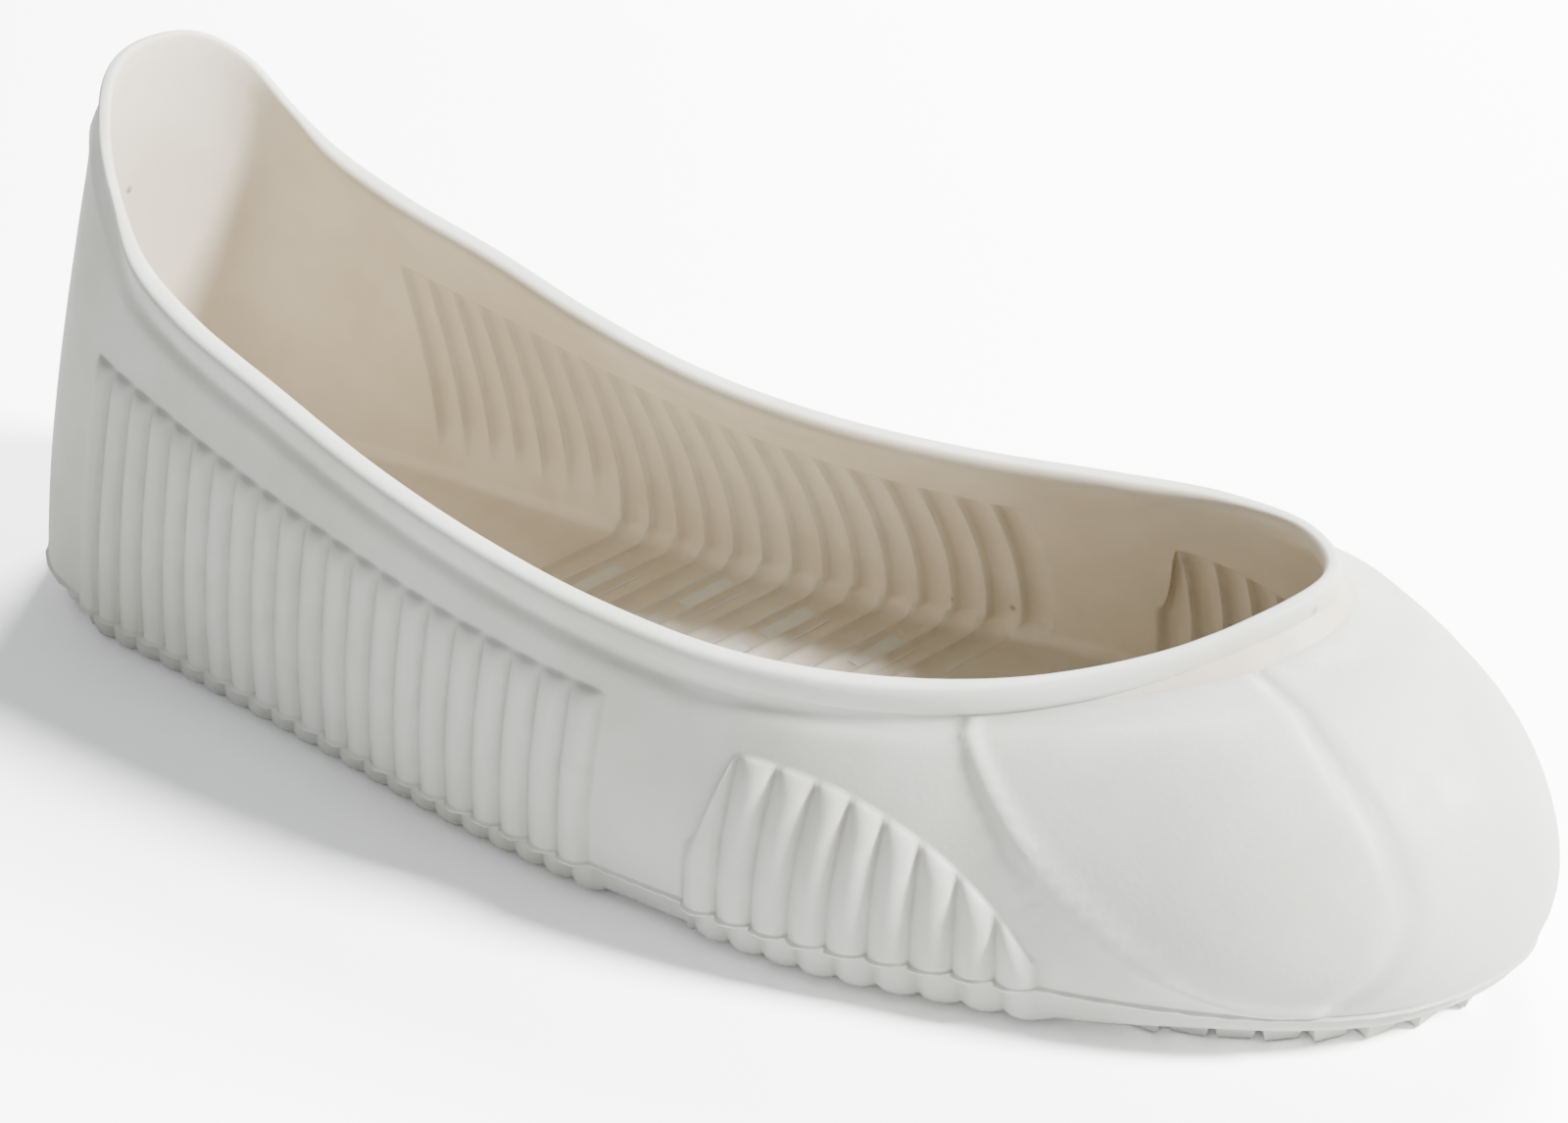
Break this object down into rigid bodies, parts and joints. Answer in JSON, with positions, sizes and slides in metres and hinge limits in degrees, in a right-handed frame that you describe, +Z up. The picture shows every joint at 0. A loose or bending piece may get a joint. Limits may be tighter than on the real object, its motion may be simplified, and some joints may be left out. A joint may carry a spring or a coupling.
{
  "type": "overshoe",
  "caption": "Moulded rubber slip-on overshoe with ribbed walls, an open mouth, a heel pull tab, a closed toe and a lugged sole.",
  "frame": {"origin": "bottom centre of the object's box, on the surface that its lugs rest on", "axes": "+Z up, +Y from the toe to the heel, +X from the wearer's outer side to the inner side"},
  "size_m": [0.1116, 0.294, 0.101],
  "materials": {
    "rubber": "matt off-white moulded rubber"
  },
  "bodies": {
    "root": {"overshoe_shell": "rubber"}
  },
  "joints": []
}
